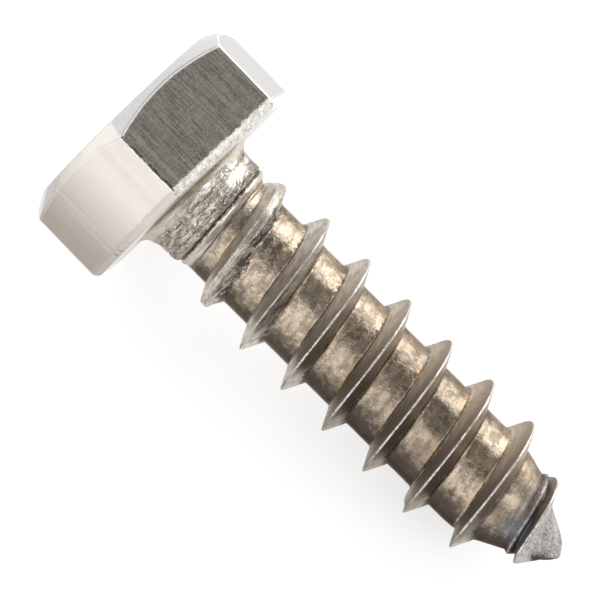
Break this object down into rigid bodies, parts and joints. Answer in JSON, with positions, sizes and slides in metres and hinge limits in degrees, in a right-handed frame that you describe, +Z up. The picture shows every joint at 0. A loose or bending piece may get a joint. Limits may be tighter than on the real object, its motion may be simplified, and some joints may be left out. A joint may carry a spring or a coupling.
{
  "type": "lag bolt",
  "caption": "Short hexagon-head lag bolt of bright steel, with a coarse rolled thread, a plain neck and a cone point, lying on its side.",
  "frame": {"origin": "middle of the bolt's box, on the ground that it lies on", "axes": "+X along the bolt from its head to its point, which leans down 6.6 degrees to the ground, +Y across it, +Z up"},
  "size_m": [0.0306, 0.0142, 0.0125],
  "materials": {
    "bright_steel": "cold-formed stainless steel: finely brushed head flats, smooth thread crests, and a stained, mottled root"
  },
  "bodies": {
    "root": {"lag_bolt": "bright_steel"}
  },
  "joints": []
}
